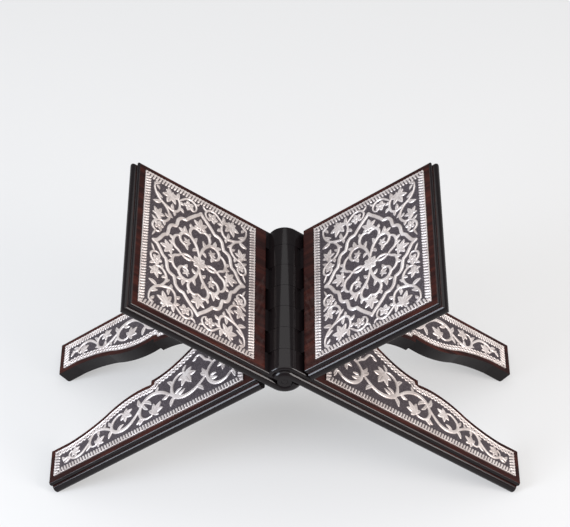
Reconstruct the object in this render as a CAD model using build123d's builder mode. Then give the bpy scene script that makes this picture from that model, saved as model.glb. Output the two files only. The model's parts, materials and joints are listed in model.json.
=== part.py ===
from build123d import *
from math import cos, radians, sin, sqrt
import os

os.makedirs("parts", exist_ok=True)

# A folding stand of two carved leaves that cross in an X. Each leaf is one board: a book panel, hinge
# knuckles and two legs. In a leaf's own frame the hinge axis is the origin, x runs from the panel down to
# the feet, y runs along the hinge, and z is the side that carries the plates.

# ---------------------------------------------------------------- leaves
TILT = 38.0             # slope of each leaf when the stand is open, from the horizontal
BOARD_T = 19.0          # thickness of the panel and of the legs
HALF_GAP = 2.4          # half the saw gap that parts the panel's level from the legs' level
HALF_WIDTH = 118.3      # half the leaf's width along the hinge, at the belly of the moulding
PANEL_END = 222.1       # hinge axis to the panel's outer end
LEG_END = 353.4         # hinge axis to the square end of the feet
FOOT_FLAT = 1.2         # height taken off the lower corner of each foot, to give it a level sole

# ---------------------------------------------------------------- edge moulding: a bead, a quirk, a torus
BEAD_START = 6.5        # the flat face ends this far inside the belly of the torus
BEAD_END = 3.6          # the bead ends this far inside the belly
BEAD_DEPTH = 4.4        # depth of the bead's end below the face
QUIRK_DEPTH = 6.6       # depth of the sharp inner corner under the bead
TORUS_R = 6.3           # radius of the half-round under the quirk

# ---------------------------------------------------------------- knuckles and rod
KNUCKLE_COUNT = 7       # the odd ones belong to leaf a, the even ones to leaf b
KNUCKLE_ARC = 106.5     # turn of the moulding round the hinge, on past level into the next board
SHOULDER = 27.7         # hinge axis to the shoulders beside each knuckle
SIDE_PLAY = 0.4         # gap between two neighbouring knuckles
ROD_D = 6.0
ROD_BORE_D = 6.1
ROD_LENGTH = 220.0
PLUG_D = 8.0
PLUG_BORE_D = 8.1
PLUG_LENGTH = 8.0

# ---------------------------------------------------------------- plates
PLATE_T = 1.9           # height of the pressed plates, relief included
PLATE_HINGE_END = 44.6
PANEL_PLATE_END = 209.3
PANEL_PLATE_HALF_WIDTH = 105.5
LEG_PLATE_END = 345.4
LEG_PLATE_HALF_WIDTH = 106.0
CUT_MARGIN = 6.0        # bare wood between a leg plate and the cut-out
SEAM_MARGIN = 5.0       # from mid-width to the edge of a leg plate
PLATE_CORNER_R = 1.2

# ---------------------------------------------------------------- cut-out between the two legs of a leaf
CUT_POINT = 110.0       # hinge axis to the point of the arch
CUT_STEP = 191.6        # hinge axis to the small step in its sides
CUT_CREASE = 267.0      # hinge axis to the faint crease
CUT_STRAIGHT = 324.0    # hinge axis to the start of the straight run at the foot
CUT_FOOT = 63.3         # half the opening at the foot
CUT_AT_CREASE = 50.6    # half the opening at the crease
CUT_BELOW_STEP = 37.6   # half the opening on the foot side of the step
CUT_ABOVE_STEP = 31.2   # half the opening on the hinge side of the step

LEVEL = HALF_GAP + BOARD_T
AXIS_Z = LEG_END * sin(radians(TILT)) - HALF_GAP * cos(radians(TILT)) - FOOT_FLAT
PITCH = 2 * HALF_WIDTH / KNUCKLE_COUNT
SLOPE_COS = cos(radians(TILT))
SLOPE_SIN = sin(radians(TILT))

LEAF_A = Plane(
    origin=(0, 0, AXIS_Z),
    x_dir=(SLOPE_COS, 0, -SLOPE_SIN),
    z_dir=(SLOPE_SIN, 0, SLOPE_COS),
)
LEAF_B = Plane(
    origin=(0, 0, AXIS_Z),
    x_dir=(-SLOPE_COS, 0, -SLOPE_SIN),
    z_dir=(-SLOPE_SIN, 0, SLOPE_COS),
)
HINGE = Plane(origin=(0, 0, AXIS_Z), x_dir=(1, 0, 0), z_dir=(0, 1, 0))


def across(leaf):
    """The plane square to the leaf: its x runs along the hinge and its y out of the plated side."""
    return Plane(origin=leaf.origin, x_dir=leaf.y_dir, z_dir=leaf.x_dir)


def along(leaf):
    """The plane square to the hinge: its x runs up the panel and its y out of the plated side."""
    return Plane(origin=leaf.origin, x_dir=-leaf.x_dir, z_dir=leaf.y_dir)


def moulded_half(reach, face):
    """Outline of half a board: flat face at the given level, edge moulding, flat back."""
    back = face - BOARD_T
    quirk_rise = BOARD_T - TORUS_R - QUIRK_DEPTH
    quirk = (reach - TORUS_R + sqrt(TORUS_R**2 - quirk_rise**2), face - QUIRK_DEPTH)
    top = Line((0, face), (reach - BEAD_START, face))
    bead = TangentArc(top @ 1, (reach - BEAD_END, face - BEAD_DEPTH), tangent=(1, 0))
    groove = Line(bead @ 1, quirk)
    torus = ThreePointArc(groove @ 1, (reach, back + TORUS_R), (reach - TORUS_R, back))
    Polyline(torus @ 1, (0, back), (0, face))


def moulded_section(face):
    """Cross-section of a board, moulded on both edges."""
    with BuildSketch() as section:
        with BuildLine():
            moulded_half(HALF_WIDTH, face)
        make_face()
        mirror(about=Plane.YZ)
    return section.sketch


def beside(curve, gap, last=1.0):
    """A spline that stays a gap away from a curve, on its left, up to a share of its length."""
    points = []
    for share in (0, 0.25, 0.5, 0.75, 1):
        place = share * last
        ahead = curve % place
        points.append(curve @ place + gap * Vector(-ahead.Y, ahead.X))
    return Spline(*points)


def opening(edge):
    """The sketch between an arch's edge line and its mirror image, run out past the feet."""
    foot = edge.vertices().sort_by(Axis.X)[-1]
    point = edge.vertices().sort_by(Axis.Y)[0]
    with BuildSketch() as arch:
        with BuildLine():
            add(edge)
            Polyline(foot, (LEG_END + 10, foot.Y), (LEG_END + 10, 0), point)
        make_face()
        mirror(about=Plane.XZ)
    return arch.sketch


# One side of the arch between the legs, from its point to the straight run at the foot
with BuildLine() as cut_edge:
    ogee = Spline((CUT_POINT, 0), (140, 17.0), (165, 27.0), (CUT_STEP - 0.4, CUT_ABOVE_STEP))
    step = Line(ogee @ 1, (CUT_STEP, CUT_BELOW_STEP))
    upper = Spline(step @ 1, (213, 36.4), (240, 40.6), (CUT_CREASE, CUT_AT_CREASE))
    lower = Spline(upper @ 1, (296, 59.0), (CUT_STRAIGHT, CUT_FOOT))

# The edge of a leg plate beside that arch
with BuildLine() as plate_edge:
    plate_ogee = beside(ogee, CUT_MARGIN, last=0.93)
    Line(((plate_ogee @ 0).X, 0), plate_ogee @ 0)
    plate_upper = beside(upper, CUT_MARGIN)
    Polyline(
        plate_ogee @ 1,
        (CUT_STEP - CUT_MARGIN, CUT_BELOW_STEP + 0.6 * CUT_MARGIN),
        plate_upper @ 0,
    )
    plate_lower = beside(lower, CUT_MARGIN)
    Line(plate_upper @ 1, plate_lower @ 0)


def make_board(leaf):
    """The uncut leaf: panel, legs and the round knuckle that joins them."""
    with BuildPart() as panel:
        with BuildSketch(across(leaf)):
            add(moulded_section(-HALF_GAP))
        extrude(amount=-PANEL_END)
        with BuildSketch(along(leaf)):
            with BuildLine():
                moulded_half(PANEL_END, -HALF_GAP)
            make_face()
        extrude(amount=HALF_WIDTH, both=True, mode=Mode.INTERSECT)

    round_end = Axis(leaf.origin, -leaf.y_dir)
    with BuildPart() as board:
        add(panel.part)
        with BuildSketch(across(leaf)):
            add(moulded_section(LEVEL))
        extrude(amount=LEG_END)
        for face in (LEVEL, -HALF_GAP):
            with BuildSketch(across(leaf)):
                add(moulded_section(face))
            revolve(axis=round_end, revolution_arc=KNUCKLE_ARC)
        with BuildSketch(HINGE):
            Circle(HALF_GAP + TORUS_R)
        extrude(amount=HALF_WIDTH, both=True)
        with BuildSketch(leaf):
            add(opening(cut_edge.line))
        extrude(amount=LEVEL + 1, mode=Mode.SUBTRACT)
        split(bisect_by=Plane.XY, keep=Keep.TOP)
    return board.part


def make_leaf(name, leaf, others_knuckles):
    """A leaf with clear notches for the other leaf's knuckles and the bore for the rod."""
    board = make_board(leaf)
    notches = [
        (0, -HALF_WIDTH + PITCH * (index + 0.5)) for index in others_knuckles
    ]
    with BuildPart() as part:
        add(board)
        with BuildSketch(leaf.offset(-LEVEL - 1)):
            with Locations(*notches):
                Rectangle(2 * SHOULDER, PITCH + SIDE_PLAY)
        extrude(amount=2 * LEVEL + 2, mode=Mode.SUBTRACT)
        with BuildSketch(HINGE):
            Circle(ROD_BORE_D / 2)
        extrude(amount=HALF_WIDTH, both=True, mode=Mode.SUBTRACT)
        if 0 not in others_knuckles:
            for side in (-1, 1):
                with BuildSketch(HINGE.offset(side * (HALF_WIDTH - PLUG_LENGTH))):
                    Circle(PLUG_BORE_D / 2)
                extrude(amount=side * PLUG_LENGTH, mode=Mode.SUBTRACT)
    part.part.label = name
    return part.part


leaf_a = make_leaf("leaf_a", LEAF_A, range(1, KNUCKLE_COUNT, 2))
leaf_b = make_leaf("leaf_b", LEAF_B, range(0, KNUCKLE_COUNT, 2))
export_step(leaf_a, "parts/leaf_a.step")
export_step(leaf_b, "parts/leaf_b.step")

# ---------------------------------------------------------------- hinge rod and its plugs
with BuildPart() as hinge_rod:
    with BuildSketch(HINGE):
        Circle(ROD_D / 2)
    extrude(amount=ROD_LENGTH / 2, both=True)
    chamfer(hinge_rod.edges(), 0.6)
hinge_rod.part.label = "hinge_rod"
export_step(hinge_rod.part, "parts/hinge_rod.step")

for name, side in (("rod_plug_front", -1), ("rod_plug_back", 1)):
    with BuildPart() as rod_plug:
        with BuildSketch(HINGE.offset(side * (HALF_WIDTH - PLUG_LENGTH + 0.1))):
            Circle(PLUG_D / 2)
        extrude(amount=side * (PLUG_LENGTH - 0.1))
        outer_face = rod_plug.faces().sort_by(Axis.Y)[-1 if side > 0 else 0]
        chamfer(outer_face.edges(), 0.4)
    rod_plug.part.label = name
    export_step(rod_plug.part, f"parts/{name}.step")

# ---------------------------------------------------------------- pressed plates
for name, leaf in (("panel_plate_left", LEAF_A), ("panel_plate_right", LEAF_B)):
    plate_length = PANEL_PLATE_END - PLATE_HINGE_END
    plate_middle = (PANEL_PLATE_END + PLATE_HINGE_END) / 2
    with BuildPart() as panel_plate:
        with BuildSketch(leaf.offset(-HALF_GAP)):
            with Locations((-plate_middle, 0)):
                RectangleRounded(plate_length, 2 * PANEL_PLATE_HALF_WIDTH, PLATE_CORNER_R)
        extrude(amount=PLATE_T)
    panel_plate.part.label = name
    export_step(panel_plate.part, f"parts/{name}.step")

for foot, leaf in (("right", LEAF_A), ("left", LEAF_B)):
    for end, side in (("front", -1), ("back", 1)):
        inward = side * leaf.y_dir.Y
        plate_length = LEG_PLATE_END - PLATE_HINGE_END
        plate_width = LEG_PLATE_HALF_WIDTH - SEAM_MARGIN
        plate_middle = (
            (LEG_PLATE_END + PLATE_HINGE_END) / 2,
            inward * (LEG_PLATE_HALF_WIDTH + SEAM_MARGIN) / 2,
        )
        with BuildPart() as leg_plate:
            with BuildSketch(leaf.offset(LEVEL)):
                with Locations(plate_middle):
                    Rectangle(plate_length, plate_width)
                add(opening(plate_edge.line), mode=Mode.SUBTRACT)
            extrude(amount=PLATE_T)
        leg_plate.part.label = f"leg_plate_{foot}_{end}"
        export_step(leg_plate.part, f"parts/leg_plate_{foot}_{end}.step")
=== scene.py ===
import json
import math

import bmesh
import bpy
import numpy as np
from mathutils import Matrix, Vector


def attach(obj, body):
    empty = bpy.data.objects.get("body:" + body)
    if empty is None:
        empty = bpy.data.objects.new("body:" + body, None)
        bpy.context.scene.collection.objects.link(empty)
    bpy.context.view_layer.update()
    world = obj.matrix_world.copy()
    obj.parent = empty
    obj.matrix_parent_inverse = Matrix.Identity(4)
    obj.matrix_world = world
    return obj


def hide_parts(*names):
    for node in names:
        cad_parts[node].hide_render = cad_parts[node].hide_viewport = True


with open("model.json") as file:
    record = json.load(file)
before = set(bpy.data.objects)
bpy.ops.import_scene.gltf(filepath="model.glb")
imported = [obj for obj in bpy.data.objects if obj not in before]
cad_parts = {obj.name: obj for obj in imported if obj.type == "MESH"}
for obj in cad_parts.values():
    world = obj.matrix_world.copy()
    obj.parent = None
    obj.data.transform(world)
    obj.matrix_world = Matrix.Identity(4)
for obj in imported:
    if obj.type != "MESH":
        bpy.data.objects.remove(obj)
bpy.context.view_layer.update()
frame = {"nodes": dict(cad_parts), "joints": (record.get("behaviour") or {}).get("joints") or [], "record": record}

# ---------------------------------------------------------------- the leaves' own planes
# In a leaf's plane the hinge axis is the origin, u runs down to the feet, y along the hinge, h out of the
# plated side. Distances in these planes are in millimetres.
MM = 0.001
PLATE_DEPTH = 1.9                # from a board's face to the top of the relief
GROUND = 0.55                    # from a board's face to the sunk ground of the relief
RELIEF = PLATE_DEPTH - GROUND
TOLERANCE = 0.01                 # places nearer than this are the same
HINGE = Vector(frame["joints"][0]["pos_m"])
MOUNTS = {mount["name"]: mount for mount in frame["record"]["mounts"]}
NORMALS = {
    "leaf_a": Vector(MOUNTS["book_rest_left"]["axis"]),
    "leaf_b": Vector(MOUNTS["book_rest_right"]["axis"]),
}


def down_slope(leaf):
    """The direction from a leaf's panel towards its feet."""
    slope = NORMALS[leaf].cross(Vector((0, 1, 0)))
    return slope if slope.z < 0 else -slope


def in_leaf(leaf, points):
    """Points of the row frame as (u, y, h) in a leaf's plane."""
    offset = np.asarray(points, float) - np.array(HINGE)
    axes = np.array([down_slope(leaf), (0, 1, 0), NORMALS[leaf]])
    return offset @ axes.T / MM


def from_leaf(leaf, u, y, h):
    """The points of the row frame at (u, y, h) in a leaf's plane."""
    axes = np.array([down_slope(leaf), (0, 1, 0), NORMALS[leaf]])
    return np.stack([u, y, h], -1) @ axes * MM + np.array(HINGE)


def face_outline(node, leaf):
    """The outline of a plate's top face, as a ring of (u, y), and the level of the board's face."""
    mesh = frame["nodes"][node].data
    place = in_leaf(leaf, [vertex.co for vertex in mesh.vertices])
    top = place[:, 2].max()
    spots = {}
    keys = []
    for u, y, _ in np.round(place, 3):
        keys.append(spots.setdefault((u, y), len(spots)))
    uses = {}
    for polygon in mesh.polygons:
        corners = list(polygon.vertices)
        if min(place[corners, 2]) < top - TOLERANCE:
            continue
        for one, other in zip(corners, corners[1:] + corners[:1]):
            uses.setdefault(frozenset((keys[one], keys[other])), []).append((keys[one], keys[other]))
    follow = {}
    for pairs in uses.values():
        if len(pairs) == 1:
            follow[pairs[0][0]] = pairs[0][1]
    ring = [next(iter(follow))]
    while follow[ring[-1]] != ring[0]:
        ring.append(follow[ring[-1]])
    places = list(spots)
    return np.array([places[key] for key in ring]), top - PLATE_DEPTH


# ---------------------------------------------------------------- relief pressed into a plate
SHOULDER = 1.1                   # width of the rounded shoulder of a raised shape
SOFT_EDGE = 0.55                 # width over which a raised shape's polish fades into the dark ground
STEP = 0.3                       # spacing of the points along a stem
BATCH = 3000                     # points measured at a time, to spare memory
LOBE_FULLNESS = 2.49             # makes a lobe's widest place as wide as it is given
BAND = 8.6                       # width of the border
BAND_MIDDLE = 4.5                # from the plate's edge to the middle of the border's pattern
BORDER_STEP = 0.4                # spacing of the points along the border
RIM_MIDDLE = 0.55                # from the plate's edge to the middle of the rim
RIM_HALF = 0.75                  # half the rim's width
GADROON = 4.4                    # pitch of the border's strokes
GADROON_HALF = 1.3               # half a stroke's width, and the radius of its inner end
GADROON_END = 7.1                # from the plate's edge to the middle of a stroke's round end
SLANT = 0.4                      # how far a stroke leans, as a share of its length
SLANT_COS = 0.93                 # cosine of that lean
EYE = 5.6                        # pitch of the chain's eyes
SWING = 2.4                      # from the middle of the chain to the top of a strand
STRAND_HALF = 0.95               # half a strand's width


class Relief:
    """A grid of points in a plate's plane, each with a height above the ground and a polish."""

    def __init__(self, u, v):
        self.points = np.stack([u.ravel(), v.ravel()], -1)
        self.shape = u.shape
        self.height = np.zeros(u.size)
        self.polish = np.zeros(u.size)

    def within(self, corners, reach):
        """The points inside the box round some corners, grown by a reach."""
        low = np.min(corners, 0) - reach
        high = np.max(corners, 0) + reach
        return np.flatnonzero(((self.points >= low) & (self.points <= high)).all(1))

    def nearest(self, rows, path):
        """The distance from each point to a path, and the place of its nearest point on the path."""
        gap = np.empty(len(rows))
        place = np.empty(len(rows), int)
        for start in range(0, len(rows), BATCH):
            part = slice(start, start + BATCH)
            square = ((self.points[rows[part], None] - path[None]) ** 2).sum(2)
            place[part] = square.argmin(1)
            gap[part] = np.sqrt(square.min(1))
        return gap, place

    def press(self, rows, inset, top, polish=1.0):
        """Raises points by how far inside a shape they lie."""
        rise = np.clip(inset / SHOULDER, 0, 1)
        height = top * np.sqrt(rise * (2 - rise))
        shine = np.clip(inset / SOFT_EDGE + 0.4, 0, 1) * polish
        self.height[rows] = np.maximum(self.height[rows], height)
        self.polish[rows] = np.maximum(self.polish[rows], shine)


def smooth_path(points):
    """Evenly spaced points on a smooth curve through a few given ones."""
    points = np.array(points, float)
    ends = np.vstack([2 * points[0] - points[1], points, 2 * points[-1] - points[-2]])
    path = []
    for before, here, there, after in zip(ends, ends[1:], ends[2:], ends[3:]):
        count = max(2, round(np.hypot(*(there - here)) / STEP))
        t = (np.arange(count) / count)[:, None]
        path.append(
            0.5 * (2 * here + (there - before) * t
                   + (2 * before - 5 * here + 4 * there - after) * t**2
                   + (3 * here - before - 3 * there + after) * t**3)
        )
    return np.vstack(path + [points[-1:]])


def stem(relief, points, thick=4.2, start=0.55, end=0.4, top=1.0):
    """A round vine stem, thickest in its middle, that tapers to shares of its width at the two ends."""
    path = smooth_path(points)
    rows = relief.within(path, thick)
    gap, place = relief.nearest(rows, path)
    t = place / (len(path) - 1)
    swell = np.where(t < 0.45, start + (1 - start) * np.sin(t / 0.9 * math.pi),
                     end + (1 - end) * np.sin((1 - t) / 1.1 * math.pi))
    relief.press(rows, thick / 2 * swell - gap, RELIEF * top)


def lobe(relief, base, tip, width, bend=0.0, top=0.85):
    """A pointed leaf lobe with a sunk vein."""
    base, tip = np.array(base, float), np.array(tip, float)
    length = np.hypot(*(tip - base))
    axis = (tip - base) / length
    rows = relief.within([base, tip], width)
    offset = relief.points[rows] - base
    along = offset @ axis / length
    inner = np.clip(along, 0, 1)
    across = offset @ (-axis[1], axis[0]) - bend * length * 4 * inner * (1 - inner)
    half = width / 2 * LOBE_FULLNESS * inner**0.55 * (1 - inner) ** 0.8
    inside = np.where((along > 0) & (along < 1), half - np.abs(across), -1)
    vein = np.exp(-((across / 0.5) ** 2)) * (inner < 0.85)
    relief.press(rows, inside, RELIEF * top * (1 - 0.4 * vein), 1 - 0.5 * vein)


# The lobes of a palmette: turn from its axis in degrees, then length and width as shares of its size
PALMETTE_LOBES = (
    (0, 1.0, 0.36),
    (-48, 0.86, 0.32),
    (48, 0.86, 0.32),
    (-98, 0.58, 0.26),
    (98, 0.58, 0.26),
)


def palmette(relief, base, tip, spread=1.0):
    """A five-lobed leaf that opens from its base, on a short stem."""
    base, tip = np.array(base, float), np.array(tip, float)
    reach = tip - base
    size = np.hypot(*reach)
    for turn, share, width in PALMETTE_LOBES:
        angle = math.radians(turn * spread)
        cos, sin = math.cos(angle), math.sin(angle)
        way = np.array([cos * reach[0] - sin * reach[1], sin * reach[0] + cos * reach[1]])
        foot = base + 0.14 * reach
        lobe(relief, foot, foot + way * share * 0.9, width * size * 1.12, bend=-0.05 * np.sign(turn))
    stem(relief, [base - 0.08 * reach, base + 0.3 * reach], 0.16 * size, 0.8, 0.8)


def blossom(relief, centre, size, petals=5, turn=0.0):
    """A round flower of a few petals about a domed heart."""
    centre = np.array(centre, float)
    for index in range(petals):
        angle = math.radians(turn + index * 360 / petals)
        way = np.array([math.cos(angle), math.sin(angle)])
        lobe(relief, centre + 0.16 * size * way, centre + 0.62 * size * way, 0.42 * size, top=0.8)
    rows = relief.within([centre], size)
    gap = np.hypot(*(relief.points[rows] - centre).T)
    relief.press(rows, 0.17 * size - gap, RELIEF)


def resampled(ring, spacing):
    """Evenly spaced points round a closed ring, with each one's distance along it."""
    ring = np.vstack([ring, ring[:1]])
    run = np.concatenate([[0], np.cumsum(np.hypot(*np.diff(ring, axis=0).T))])
    count = round(run[-1] / spacing)
    at = np.arange(count) * run[-1] / count
    return np.stack([np.interp(at, run, ring[:, 0]), np.interp(at, run, ring[:, 1])], -1), at


def border(relief, ring, chained):
    """A border of slanted gadroons inside a rim; chained picks where it is a chain of eyes instead."""
    path, run = resampled(ring, BORDER_STEP)
    ahead = np.roll(path, -1, 0) - path
    lean = np.where(np.abs(ahead[:, 0]) > np.abs(ahead[:, 1]), -SLANT, SLANT)
    edge = np.abs(relief.points[:, None, :] - np.array([ring.min(0), ring.max(0)])[None]).min((1, 2))
    rows = np.flatnonzero((edge < BAND + 2) | chained(relief.points, BAND + 6))
    gap, place = relief.nearest(rows, path)
    near = gap < BAND + 0.8
    rows, gap, place = rows[near], gap[near], place[near]
    relief.press(rows, RIM_HALF - np.abs(gap - RIM_MIDDLE), RELIEF * 0.7, 0.9)
    offset = gap - BAND_MIDDLE
    length = run[-1]
    turn = (run[place] + lean[place] * offset) * round(length / GADROON) / length
    beside = np.abs(turn - np.round(turn)) * GADROON * SLANT_COS
    beyond = np.clip(gap - GADROON_END, 0, None)
    gadroon = GADROON_HALF - np.hypot(beside, beyond)
    step = length / round(length / EYE)
    wave = SWING * np.cos(math.pi * run[place] / step)
    steep = np.hypot(1, SWING * math.pi / step * np.sin(math.pi * run[place] / step))
    strand = STRAND_HALF - np.minimum(np.abs(offset - wave), np.abs(offset + wave)) / steep
    inset = np.where(chained(relief.points[rows], 0), strand, gadroon)
    relief.press(rows, inset, RELIEF * 0.9)


# ---------------------------------------------------------------- the panel's ornament
# One quarter of it, as (across, up) from the panel's middle; the other three are its mirror images.
PANEL_GRID = (280, 348)
MEDALLION = (
    [(0, 66.3), (3.2, 60.6), (9.8, 56.0), (16.2, 52.2), (19.6, 47.6)],
    [(19.6, 47.6), (25.2, 46.0), (32.2, 45.0), (37.8, 41.8), (40.8, 35.0)],
    [(40.8, 35.0), (46.2, 33.6), (52.4, 32.2), (57.4, 27.8), (58.8, 21.0)],
    [(58.8, 21.0), (65.4, 15.8), (72.6, 8.9), (77.4, 3.7), (82.0, 0)],
)


def corner_vines(relief):
    """The vines that fill the corner outside the medallion."""
    stem(relief, [(93.4, 68.4), (85.6, 68.2), (78.0, 65.6), (71.0, 60.4), (66.2, 53.6), (63.4, 45.4),
                  (62.4, 38.9), (66.6, 33.4), (73.4, 31.4), (80.2, 31.6), (86.0, 34.6), (89.2, 39.6),
                  (89.6, 45.6)], 3.6, 0.5, 0.4)
    stem(relief, [(66.4, 54.4), (61.4, 49.8), (55.6, 46.4), (49.4, 45.4), (43.6, 47.2), (39.0, 51.2),
                  (37.2, 56.4), (39.0, 61.6), (43.6, 64.2)], 3.4, 0.7, 0.4)
    stem(relief, [(84.0, 32.6), (89.4, 27.2), (94.2, 21.2), (95.0, 14.6), (91.6, 9.0), (86.0, 6.8),
                  (80.4, 8.8), (77.8, 13.0)], 3.2, 0.6, 0.4)
    stem(relief, [(37.6, 57.0), (34.0, 63.4), (28.6, 67.8), (22.0, 68.4), (17.4, 64.6), (17.0, 59.4),
                  (21.6, 55.6)], 3.0, 0.6, 0.4)
    stem(relief, [(17.4, 64.0), (12.4, 66.0), (7.0, 68.4)], 2.6, 0.7, 0.3)
    stem(relief, [(91.8, 9.4), (92.4, 5.4), (96.4, 2.4)], 2.6, 0.7, 0.3)
    palmette(relief, (90.0, 42.6), (72.4, 49.6), 1.0)
    palmette(relief, (42.4, 63.4), (55.6, 57.4), 1.1)
    blossom(relief, (84.0, 17.8), 13.0, 5, 20)
    blossom(relief, (27.4, 59.6), 12.0, 5, 60)
    lobe(relief, (67.8, 58.2), (63.6, 70.0), 5.6, 0.08)
    lobe(relief, (80.6, 66.0), (74.6, 56.2), 4.8, -0.1)
    lobe(relief, (92.0, 68.0), (96.0, 60.6), 4.4, 0.15)
    lobe(relief, (91.4, 65.6), (85.6, 61.0), 3.6, 0.1)
    lobe(relief, (64.0, 40.0), (73.8, 41.6), 4.6, 0.12)
    lobe(relief, (62.6, 39.4), (55.4, 38.2), 4.2, 0.1)
    lobe(relief, (56.0, 46.0), (50.0, 40.4), 4.0, -0.1)
    lobe(relief, (48.6, 45.8), (52.4, 52.2), 3.8, 0.1)
    lobe(relief, (72.4, 31.6), (67.8, 25.0), 4.8, 0.12)
    lobe(relief, (86.0, 33.4), (96.2, 33.2), 5.0, 0.1)
    lobe(relief, (89.6, 44.6), (96.4, 49.4), 3.8, 0.0)
    lobe(relief, (82.6, 31.8), (80.2, 24.8), 4.2, 0.0)
    lobe(relief, (38.2, 54.4), (31.6, 51.6), 4.4, 0.1)
    lobe(relief, (34.6, 62.8), (38.8, 70.0), 3.6, 0.1)


def inner_arabesque(relief):
    """The arabesque inside the medallion: four scrolls about a rosette, with leaves on the two axes."""
    stem(relief, [(9.0, 0.0), (19.0, 2.6), (29.0, 7.4), (36.4, 15.0), (36.0, 24.0), (28.6, 29.0),
                  (20.4, 26.6), (18.0, 20.0), (22.0, 15.4)], 4.6, 0.6, 0.45)
    stem(relief, [(34.0, 11.4), (42.0, 14.6), (49.6, 12.6), (53.0, 6.6), (50.0, 0.0)], 4.0, 0.5, 0.6)
    stem(relief, [(29.6, 28.8), (24.6, 35.6), (16.4, 38.6), (8.2, 36.4), (4.0, 30.2),
                  (0.0, 26.0)], 4.0, 0.5, 0.6)
    stem(relief, [(0.0, 9.0), (3.0, 14.6), (2.6, 21.0), (0.0, 26.0)], 3.4, 0.6, 0.6)
    palmette(relief, (55.0, 0.0), (72.0, 0.0), 1.0)
    palmette(relief, (0.0, 39.0), (0.0, 56.0), 1.0)
    palmette(relief, (23.0, 16.4), (29.0, 22.6), 1.3)
    lobe(relief, (36.6, 18.6), (48.0, 22.6), 5.6, 0.12)
    lobe(relief, (36.0, 24.0), (40.6, 31.6), 5.0, -0.1)
    lobe(relief, (28.4, 6.8), (38.6, 4.0), 4.6, 0.1)
    lobe(relief, (18.0, 38.6), (21.6, 44.4), 4.4, 0.0)
    lobe(relief, (9.0, 36.8), (12.0, 44.6), 4.8, -0.1)
    lobe(relief, (19.4, 22.6), (11.4, 17.0), 5.0, 0.12)
    lobe(relief, (19.6, 3.2), (14.2, 9.8), 4.6, -0.15)
    lobe(relief, (50.4, 12.2), (56.4, 14.6), 4.4, 0.1)
    for turn in range(0, 91, 45):
        angle = math.radians(turn)
        way = np.array([math.cos(angle), math.sin(angle)])
        lobe(relief, 2.6 * way, 10.8 * way, 6.6, top=0.9)
    rows = relief.within([(0, 0)], 6)
    relief.press(rows, 3.0 - np.hypot(*relief.points[rows].T), RELIEF)


def panel_relief(half_length, half_width):
    """The whole panel plate's relief, on a grid of (down, across) from its middle.

    The vines are drawn on the distances from the middle, so that all four quarters get them at once.
    """
    rows, columns = PANEL_GRID
    down, across = np.meshgrid(np.linspace(-half_length, half_length, rows),
                               np.linspace(-half_width, half_width, columns), indexing="ij")
    relief = Relief(np.abs(across), np.abs(down))
    for arm in MEDALLION:
        stem(relief, arm, 4.6, 0.95, 0.95)
    corner_vines(relief)
    inner_arabesque(relief)
    quarter = relief.points
    relief.points = np.stack([across.ravel(), down.ravel()], -1)
    ring = np.array([(-half_width, -half_length), (half_width, -half_length),
                     (half_width, half_length), (-half_width, half_length)])
    border(relief, ring, lambda points, reach: np.zeros(len(points), bool))
    relief.points = quarter
    return down, across, relief


# ---------------------------------------------------------------- the legs' ornament
# As (u, distance from mid-width); each leg carries the same running vine, mirrored front to back.
LEG_GRID = (560, 168)


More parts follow.
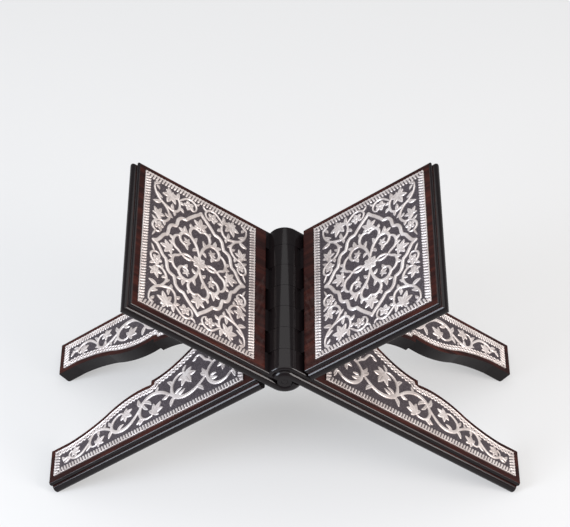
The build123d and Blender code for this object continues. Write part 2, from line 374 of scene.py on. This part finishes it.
def leg_vine(relief):
    """The vine that runs down a leg in spirals that turn alternately, each about a leaf."""
    stem(relief, [(58.6, 84.6), (63.2, 83.0), (70.0, 88.4), (79.8, 90.4), (89.6, 87.0), (97.4, 78.2),
                  (100.6, 68.0), (97.6, 59.4), (91.0, 52.6), (82.0, 49.6), (73.6, 52.4)], 5.0, 0.5, 0.4)
    stem(relief, [(100.4, 67.2), (109.8, 75.4), (118.7, 81.4), (129.0, 84.2), (140.0, 83.4), (150.0, 78.4),
                  (155.6, 69.0), (155.8, 57.6), (151.0, 49.2), (143.4, 45.2), (137.0, 46.8)], 5.4, 0.5, 0.4)
    stem(relief, [(152.0, 76.8), (162.0, 68.2), (171.0, 61.2), (181.0, 57.0), (190.6, 56.4), (199.6, 60.4),
                  (205.8, 68.0), (207.0, 77.4), (203.0, 86.0), (195.2, 90.4), (186.6, 90.0)], 5.2, 0.5, 0.4)
    stem(relief, [(205.4, 67.6), (214.4, 78.6), (223.6, 86.2), (233.8, 88.6), (244.4, 86.4), (251.2, 80.6),
                  (252.6, 72.6), (248.6, 65.8), (241.4, 61.4), (235.4, 61.8)], 5.0, 0.5, 0.4)
    stem(relief, [(250.4, 81.6), (258.0, 75.6), (266.0, 70.9), (275.0, 68.6), (282.6, 70.8), (287.0, 77.2),
                  (287.4, 84.4), (283.6, 90.2), (277.6, 91.4)], 4.2, 0.6, 0.4)
    stem(relief, [(286.8, 78.6), (293.0, 86.0), (301.0, 92.4), (310.4, 93.6), (318.4, 90.2), (321.2, 84.4),
                  (317.4, 79.6)], 3.8, 0.6, 0.4)
    stem(relief, [(319.4, 89.0), (325.4, 87.4), (330.6, 90.0)], 3.4, 0.8, 0.5)
    stem(relief, [(92.0, 53.0), (98.6, 46.6), (104.4, 42.6), (109.0, 36.4), (114.0, 31.0),
                  (120.4, 31.8)], 3.6, 0.5, 0.5)
    stem(relief, [(97.0, 48.0), (98.0, 38.6), (93.0, 29.0), (84.0, 22.6), (73.0, 22.0), (64.8, 28.0),
                  (64.0, 36.0), (69.6, 40.6)], 4.4, 0.5, 0.4)
    palmette(relief, (72.4, 55.4), (76.6, 73.0), 1.0)
    palmette(relief, (137.6, 46.8), (126.0, 66.6), 0.95)
    palmette(relief, (186.0, 88.6), (174.0, 73.6), 0.9)
    palmette(relief, (235.0, 63.4), (220.6, 72.4), 0.95)
    palmette(relief, (277.0, 90.0), (264.6, 82.6), 1.0)
    palmette(relief, (317.0, 81.4), (304.0, 86.6), 0.8)
    palmette(relief, (70.4, 39.4), (84.4, 31.0), 1.0)
    for base, tip, width, bend in (
        ((97.0, 75.0), (84.0, 80.0), 5.4, -0.1), ((96.0, 73.6), (86.0, 73.0), 4.0, 0.1),
        ((101.0, 67.0), (111.4, 61.6), 7.0, 0.0), ((100.6, 64.0), (109.0, 54.0), 4.6, 0.15),
        ((115.6, 79.6), (105.4, 90.2), 5.2, 0.1), ((150.6, 76.8), (134.6, 72.4), 5.0, -0.12),
        ((151.0, 75.0), (139.6, 68.6), 4.2, 0.1), ((151.6, 77.6), (157.0, 90.6), 6.2, -0.1),
        ((155.6, 60.0), (164.6, 48.6), 5.6, -0.15), ((139.6, 45.0), (134.8, 35.8), 4.4, 0.1),
        ((160.6, 69.4), (171.6, 72.6), 5.4, 0.1), ((201.0, 62.0), (188.6, 71.6), 5.0, 0.12),
        ((202.6, 64.4), (193.6, 76.4), 4.2, -0.1), ((205.4, 66.0), (210.6, 53.0), 5.8, 0.1),
        ((203.6, 85.0), (211.4, 92.0), 4.8, 0.1), ((199.6, 89.0), (206.6, 95.0), 4.2, -0.1),
        ((242.6, 87.0), (232.6, 79.8), 5.0, 0.12), ((250.6, 80.6), (256.4, 91.4), 5.4, -0.1),
        ((252.4, 72.0), (258.6, 64.6), 4.4, 0.1), ((276.4, 69.0), (274.0, 78.6), 4.2, 0.1),
        ((286.6, 83.6), (293.4, 93.0), 4.4, 0.1), ((284.0, 72.6), (291.6, 75.6), 3.8, 0.1),
        ((328.0, 88.0), (333.6, 82.0), 4.2, 0.1), ((320.0, 88.6), (329.6, 93.4), 4.2, 0.1),
        ((61.0, 84.4), (57.2, 93.6), 5.0, 0.1), ((62.0, 83.6), (56.6, 74.0), 5.0, -0.1),
        ((76.0, 50.8), (64.0, 46.4), 5.4, 0.1), ((84.0, 22.8), (94.0, 15.8), 5.0, -0.1),
        ((66.0, 26.4), (57.0, 18.6), 5.4, 0.1), ((64.4, 33.0), (56.6, 38.6), 4.8, 0.1),
        ((118.0, 31.4), (125.0, 36.0), 4.0, 0.1), ((74.0, 53.0), (62.6, 62.6), 5.6, -0.1),
        ((265.6, 71.2), (263.0, 64.6), 3.4, 0.0), ((181.6, 57.0), (178.0, 48.6), 4.4, 0.1),
    ):
        lobe(relief, base, tip, width, bend)


def leg_relief(ring):
    """A leg plate's relief, on a grid whose rows run from the arch side to the outer edge."""
    rows, columns = LEG_GRID
    u = np.linspace(ring[:, 0].min(), ring[:, 0].max(), rows)
    outer = ring[:, 1].max()
    middle = ring[:, 1].min()
    arch = ring[ring[:, 1] < outer - TOLERANCE]
    arch = arch[np.lexsort((arch[:, 1], arch[:, 0]))]
    beyond_seam = arch[:, 0] > u[0] + TOLERANCE
    short_of_foot = (arch[:, 0] < u[-1] - TOLERANCE) | (arch[:, 1] < outer - 1)
    arch = arch[beyond_seam & short_of_foot]
    inner = np.interp(u, arch[:, 0], arch[:, 1], left=middle)
    share = np.linspace(0, 1, columns)
    v = inner[:, None] * (1 - share) + outer * share
    u = np.repeat(u[:, None], columns, 1)
    relief = Relief(u, v)
    leg_vine(relief)

    def chained(points, reach):
        """The points near the arch, or with no reach, those that the chain runs through."""
        start = np.interp(points[:, 0], arch[:, 0], arch[:, 1], left=middle)
        if reach:
            return points[:, 1] < start + reach * 1.5
        near_end = (points[:, 0] < u[0, 0] + BAND) | (points[:, 0] > u[-1, 0] - BAND)
        return (points[:, 1] < (start + outer) / 2) & ~near_end

    border(relief, ring, chained)
    return u, v, relief


# ---------------------------------------------------------------- plate meshes
def plate_mesh(name, leaf, base, u, y, relief):
    """A closed plate whose top carries the relief, standing on a board's face."""
    rows, columns = u.shape
    height = base + GROUND + relief.height.reshape(u.shape)
    top = from_leaf(leaf, u, y, height).reshape(-1, 3)
    index = np.arange(rows * columns).reshape(rows, columns)
    rim = np.concatenate([index[0, :-1], index[:-1, -1], index[-1, :0:-1], index[:0:-1, 0]])
    under = from_leaf(leaf, u.ravel()[rim], y.ravel()[rim], np.full(len(rim), base))
    foot = len(top) + np.arange(len(rim))
    quads = np.stack([index[:-1, :-1], index[1:, :-1], index[1:, 1:], index[:-1, 1:]], -1).reshape(-1, 4)
    walls = np.stack([rim, np.roll(rim, -1), np.roll(foot, -1), foot], -1)
    faces = quads.tolist() + walls.tolist() + [foot[::-1].tolist()]
    mesh = bpy.data.meshes.new(name)
    mesh.from_pydata(np.vstack([top, under]).tolist(), [], faces)
    mesh.polygons.foreach_set("use_smooth", [True] * len(quads) + [False] * (len(walls) + 1))
    polish = np.concatenate([relief.polish, np.full(len(rim), 0.5)])
    mesh.attributes.new("polish", "FLOAT", "POINT").data.foreach_set("value", polish)
    shape = bmesh.new()
    shape.from_mesh(mesh)
    bmesh.ops.recalc_face_normals(shape, faces=shape.faces)
    shape.to_mesh(mesh)
    shape.free()
    plate = bpy.data.objects.new(name, mesh)
    bpy.context.scene.collection.objects.link(plate)
    return plate


# ---------------------------------------------------------------- materials
def new_material(name):
    """An empty node material with its Principled shader."""
    material = bpy.data.materials.new(name)
    material.use_nodes = True
    return material, material.node_tree, material.node_tree.nodes["Principled BSDF"]


def add_node(tree, kind, values=(), **settings):
    """A shader node with some of its inputs and settings given."""
    node = tree.nodes.new(kind)
    for key, value in dict(values).items():
        node.inputs[key].default_value = value
    for key, value in settings.items():
        setattr(node, key, value)
    return node


def ramp(tree, factor, stops):
    """A colour ramp fed by a factor."""
    node = tree.nodes.new("ShaderNodeValToRGB")
    elements = node.color_ramp.elements
    while len(elements) < len(stops):
        elements.new(0.5)
    for element, (position, colour) in zip(elements, stops):
        element.position = position
        element.color = (*colour, 1)
    tree.links.new(factor, node.inputs["Fac"])
    return node


WOOD_COLOURS = (
    (0.3, (0.005, 0.0015, 0.0015)),
    (0.5, (0.019, 0.0044, 0.0034)),
    (0.68, (0.046, 0.011, 0.007)),
)
# black for the edges, partly a stain and partly painted shade, and painted shade for the knuckles
STAIN_AND_PAINTED_SHADE_BLACK = (0.0045, 0.003, 0.0034)
EDGE_STAIN_AND_SHADE_STOPS = (                   # from black to bare, by how level a surface lies with the leaf: partly a black stain, partly painted shade on the faces turned away
    (0.8, (0, 0, 0)),
    (0.97, (1, 1, 1)),
)
KNUCKLE_PAINTED_SHADE_REACH = 0.0277           # metres from the hinge axis to where the panels and legs begin; nearer than this the wood is painted black as shade
GROUND_COLOURS = (
    (0.35, (0.012, 0.0085, 0.010)),
    (0.5, (0.037, 0.028, 0.033)),
    (0.68, (0.10, 0.082, 0.092)),
)
RAISED_COLOURS = (
    (0.3, (0.47, 0.41, 0.385)),
    (0.55, (0.63, 0.57, 0.545)),
    (0.75, (0.74, 0.69, 0.665)),
)


def wood(name, leaf):
    """Gloss lacquered wood, its grain along the leaf: dark red-brown faces; its edges painted black, partly a
    black stain and partly painted shade, and its knuckles painted black as shade.
    """
    material, tree, shader = new_material(name)
    link = tree.links.new
    place = add_node(tree, "ShaderNodeTexCoord")
    slope = down_slope(leaf)
    turn = math.atan2(-slope.z, slope.x)
    level = add_node(tree, "ShaderNodeMapping", {"Rotation": (0, -turn, 0)})
    link(place.outputs["Object"], level.inputs["Vector"])
    long_grain = add_node(tree, "ShaderNodeMapping", {"Scale": (7, 60, 60)})
    link(level.outputs["Vector"], long_grain.inputs["Vector"])
    figure = add_node(tree, "ShaderNodeTexNoise", {"Scale": 1.6, "Detail": 6.0, "Distortion": 0.6})
    link(long_grain.outputs["Vector"], figure.inputs["Vector"])
    fine_grain = add_node(tree, "ShaderNodeMapping", {"Scale": (30, 900, 900)})
    link(level.outputs["Vector"], fine_grain.inputs["Vector"])
    pores = add_node(tree, "ShaderNodeTexNoise", {"Scale": 1.0, "Detail": 3.0})
    link(fine_grain.outputs["Vector"], pores.inputs["Vector"])
    blend = add_node(tree, "ShaderNodeMix", {0: 0.3}, data_type="FLOAT")
    link(figure.outputs["Fac"], blend.inputs[2])
    link(pores.outputs["Fac"], blend.inputs[3])
    colour = ramp(tree, blend.outputs[0], WOOD_COLOURS)
    # black where the surface turns away from the leaf's faces, partly a black stain and partly painted shade, and
    # painted shade all over the knuckles
    facing = add_node(tree, "ShaderNodeMapping", {"Rotation": (0, -turn, 0)})
    link(place.outputs["Normal"], facing.inputs["Vector"])
    facing_parts = add_node(tree, "ShaderNodeSeparateXYZ")
    link(facing.outputs["Vector"], facing_parts.inputs["Vector"])
    flatness = add_node(tree, "ShaderNodeMath", operation="ABSOLUTE")
    link(facing_parts.outputs["Z"], flatness.inputs[0])
    flat = ramp(tree, flatness.outputs["Value"], EDGE_STAIN_AND_SHADE_STOPS)
    across = {"Scale": (1, 0, 1), "Location": (-HINGE.x, 0, -HINGE.z)}
    from_hinge = add_node(tree, "ShaderNodeMapping", across)
    link(place.outputs["Object"], from_hinge.inputs["Vector"])
    distance = add_node(tree, "ShaderNodeVectorMath", operation="LENGTH")
    link(from_hinge.outputs["Vector"], distance.inputs[0])
    beyond = add_node(tree, "ShaderNodeMath", {1: KNUCKLE_PAINTED_SHADE_REACH}, operation="GREATER_THAN")
    link(distance.outputs["Value"], beyond.inputs[0])
    unstained_unshaded = add_node(tree, "ShaderNodeMath", operation="MULTIPLY")
    link(flat.outputs["Color"], unstained_unshaded.inputs[0])
    link(beyond.outputs["Value"], unstained_unshaded.inputs[1])
    # the black stain and the painted shade mixed into the wood's colour
    stain_and_painted_shade = add_node(tree, "ShaderNodeMix", {6: (*STAIN_AND_PAINTED_SHADE_BLACK, 1)}, data_type="RGBA")
    link(unstained_unshaded.outputs["Value"], stain_and_painted_shade.inputs[0])
    link(colour.outputs["Color"], stain_and_painted_shade.inputs[7])
    link(stain_and_painted_shade.outputs[2], shader.inputs["Base Color"])
    shine = ramp(tree, pores.outputs["Fac"], [(0.35, (0.5, 0.5, 0.5)), (0.7, (0.36, 0.36, 0.36))])
    link(shine.outputs["Color"], shader.inputs["Roughness"])
    bump = add_node(tree, "ShaderNodeBump", {"Strength": 0.12, "Distance": 0.0003})
    link(pores.outputs["Fac"], bump.inputs["Height"])
    link(bump.outputs["Normal"], shader.inputs["Normal"])
    shader.inputs["Specular IOR Level"].default_value = 0.04
    shader.inputs["Coat Weight"].default_value = 0.33
    shader.inputs["Coat Roughness"].default_value = 0.07
    return material


def silver():
    """Embossed silver: polished where it stands up, oxidised and finely chased in the ground."""
    material, tree, shader = new_material("embossed_silver")
    link = tree.links.new
    place = add_node(tree, "ShaderNodeTexCoord")
    polish = add_node(tree, "ShaderNodeAttribute", attribute_name="polish")
    chasing = add_node(tree, "ShaderNodeTexNoise", {"Scale": 1100.0, "Detail": 2.0})
    link(place.outputs["Object"], chasing.inputs["Vector"])
    tarnish = add_node(tree, "ShaderNodeTexNoise", {"Scale": 45.0, "Detail": 5.0})
    link(place.outputs["Object"], tarnish.inputs["Vector"])
    ground = ramp(tree, chasing.outputs["Fac"], GROUND_COLOURS)
    raised = ramp(tree, tarnish.outputs["Fac"], RAISED_COLOURS)
    colour = add_node(tree, "ShaderNodeMix", data_type="RGBA")
    link(polish.outputs["Fac"], colour.inputs[0])
    link(ground.outputs["Color"], colour.inputs[6])
    link(raised.outputs["Color"], colour.inputs[7])
    link(colour.outputs[2], shader.inputs["Base Color"])
    metal = ramp(tree, polish.outputs["Fac"], [(0.0, (0.3, 0.3, 0.3)), (1.0, (0.5, 0.5, 0.5))])
    link(metal.outputs["Color"], shader.inputs["Metallic"])
    rough = ramp(tree, polish.outputs["Fac"], [(0.0, (0.6, 0.6, 0.6)), (1.0, (0.33, 0.33, 0.33))])
    link(rough.outputs["Color"], shader.inputs["Roughness"])
    bump = add_node(tree, "ShaderNodeBump", {"Strength": 0.35, "Distance": 0.0002})
    link(chasing.outputs["Fac"], bump.inputs["Height"])
    link(bump.outputs["Normal"], shader.inputs["Normal"])
    return material


def steel():
    """Drawn steel, with fine scratches along the rod."""
    material, tree, shader = new_material("drawn_steel")
    link = tree.links.new
    place = add_node(tree, "ShaderNodeTexCoord")
    stretch = add_node(tree, "ShaderNodeMapping", {"Scale": (900, 25, 900)})
    link(place.outputs["Object"], stretch.inputs["Vector"])
    scratch = add_node(tree, "ShaderNodeTexNoise", {"Scale": 1.0, "Detail": 3.0})
    link(stretch.outputs["Vector"], scratch.inputs["Vector"])
    colour = ramp(tree, scratch.outputs["Fac"], [(0.3, (0.32, 0.32, 0.33)), (0.7, (0.62, 0.62, 0.63))])
    link(colour.outputs["Color"], shader.inputs["Base Color"])
    rough = ramp(tree, scratch.outputs["Fac"], [(0.3, (0.42, 0.42, 0.42)), (0.7, (0.25, 0.25, 0.25))])
    link(rough.outputs["Color"], shader.inputs["Roughness"])
    shader.inputs["Metallic"].default_value = 1.0
    return material


def grey(level):
    """An opaque grey."""
    return (level, level, level, 1)


def paint(thing, material):
    """Gives an object one material."""
    thing.data.materials.clear()
    thing.data.materials.append(material)


# ---------------------------------------------------------------- making
SILVER = silver()
WOOD = {leaf: wood(f"lacquered_wood_{leaf}", leaf) for leaf in ("leaf_a", "leaf_b")}
WOODEN_NODES = (
    ("leaf_a", "leaf_a"),
    ("leaf_b", "leaf_b"),
    ("rod_plug_front", "leaf_a"),
    ("rod_plug_back", "leaf_a"),
)
for node, leaf in WOODEN_NODES:
    paint(frame["nodes"][node], WOOD[leaf])
paint(frame["nodes"]["hinge_rod"], steel())


def place_plate(name, node, leaf, base, u, y, relief):
    """Makes a plate in the place of its CAD node."""
    plate = plate_mesh(name, leaf, base, u, y, relief)
    paint(plate, SILVER)
    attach(plate, leaf)
    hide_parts(node)


PANEL_PLATES = (("panel_plate_left", "leaf_a"), ("panel_plate_right", "leaf_b"))
LEG_PLATES = tuple(
    (f"leg_plate_{foot}_{end}", leaf, side)
    for foot, leaf in (("right", "leaf_a"), ("left", "leaf_b"))
    for end, side in (("front", -1), ("back", 1))
)

outline, level = face_outline(*PANEL_PLATES[0])
half_sizes = (outline.max(0) - outline.min(0)) / 2
centre = (outline.max(0) + outline.min(0)) / 2
down, across, panel = panel_relief(*half_sizes)
for node, leaf in PANEL_PLATES:
    place_plate(f"embossed_{node}", node, leaf, level, centre[0] + down, across, panel)

outline, level = face_outline(*LEG_PLATES[0][:2])
outline[:, 1] = np.abs(outline[:, 1])
u_leg, v_leg, leg = leg_relief(outline)
for node, leaf, side in LEG_PLATES:
    place_plate(f"embossed_{node}", node, leaf, level, u_leg, side * v_leg, leg)

# ---------------------------------------------------------------- stage
FLOOR_SIZE = 40
FLOOR_GREY = 0.24
FLOOR_GLOW = 0.43                # lifts the far floor to the tone of the lit floor round the stand
bpy.ops.mesh.primitive_plane_add(size=FLOOR_SIZE, location=(0, 0, 0))
floor = bpy.context.active_object
floor.name = "floor"
floor_material, _, floor_shader = new_material("pale_floor")
floor_shader.inputs["Base Color"].default_value = grey(FLOOR_GREY)
floor_shader.inputs["Emission Color"].default_value = grey(1)
floor_shader.inputs["Emission Strength"].default_value = FLOOR_GLOW
floor_shader.inputs["Roughness"].default_value = 0.95
floor_shader.inputs["Specular IOR Level"].default_value = 0.1
paint(floor, floor_material)

world = bpy.data.worlds.new("soft_room")
bpy.context.scene.world = world
world.use_nodes = True
background = world.node_tree.nodes["Background"]
background.inputs["Color"].default_value = (0.97, 0.98, 1.0, 1)
background.inputs["Strength"].default_value = 0.3


MIDDLE = (0, 0, 0.2)             # about the middle of the stand


def softbox(name, place, size, watts, colour=(1, 1, 1)):
    """A rectangular area light that faces the stand."""
    light = bpy.data.lights.new(name, "AREA")
    light.shape = "RECTANGLE"
    light.size, light.size_y = size
    light.energy = watts
    light.color = colour
    lamp = bpy.data.objects.new(name, light)
    bpy.context.scene.collection.objects.link(lamp)
    lamp.location = place
    lamp.rotation_euler = (Vector(MIDDLE) - Vector(place)).to_track_quat("-Z", "Y").to_euler()


softbox("overhead", (0.0, 0.3, 3.2), (5.0, 5.0), 145)
softbox("left_strip", (-1.6, -0.9, 1.0), (0.8, 1.2), 62, (0.82, 0.89, 1.0))
softbox("right_strip", (1.6, -0.9, 1.0), (0.8, 1.2), 50, (1.0, 0.95, 0.93))

# ---------------------------------------------------------------- camera
ELEVATION = math.radians(46.8)
DISTANCE = 2.5656
SENSOR_WIDTH = 36
FOCAL_LENGTH = 137.2
TARGET = HINGE + Vector((0.0004, 0, 0.07645))
camera_data = bpy.data.cameras.new("camera")
camera_data.sensor_width = SENSOR_WIDTH
camera_data.lens = FOCAL_LENGTH
camera = bpy.data.objects.new("camera", camera_data)
bpy.context.scene.collection.objects.link(camera)
camera.location = TARGET + DISTANCE * Vector((0, -math.cos(ELEVATION), math.sin(ELEVATION)))
camera.rotation_euler = (math.pi / 2 - ELEVATION, 0, 0)
bpy.context.scene.camera = camera

bpy.context.scene.view_settings.view_transform = "Standard"
bpy.context.view_layer.update()
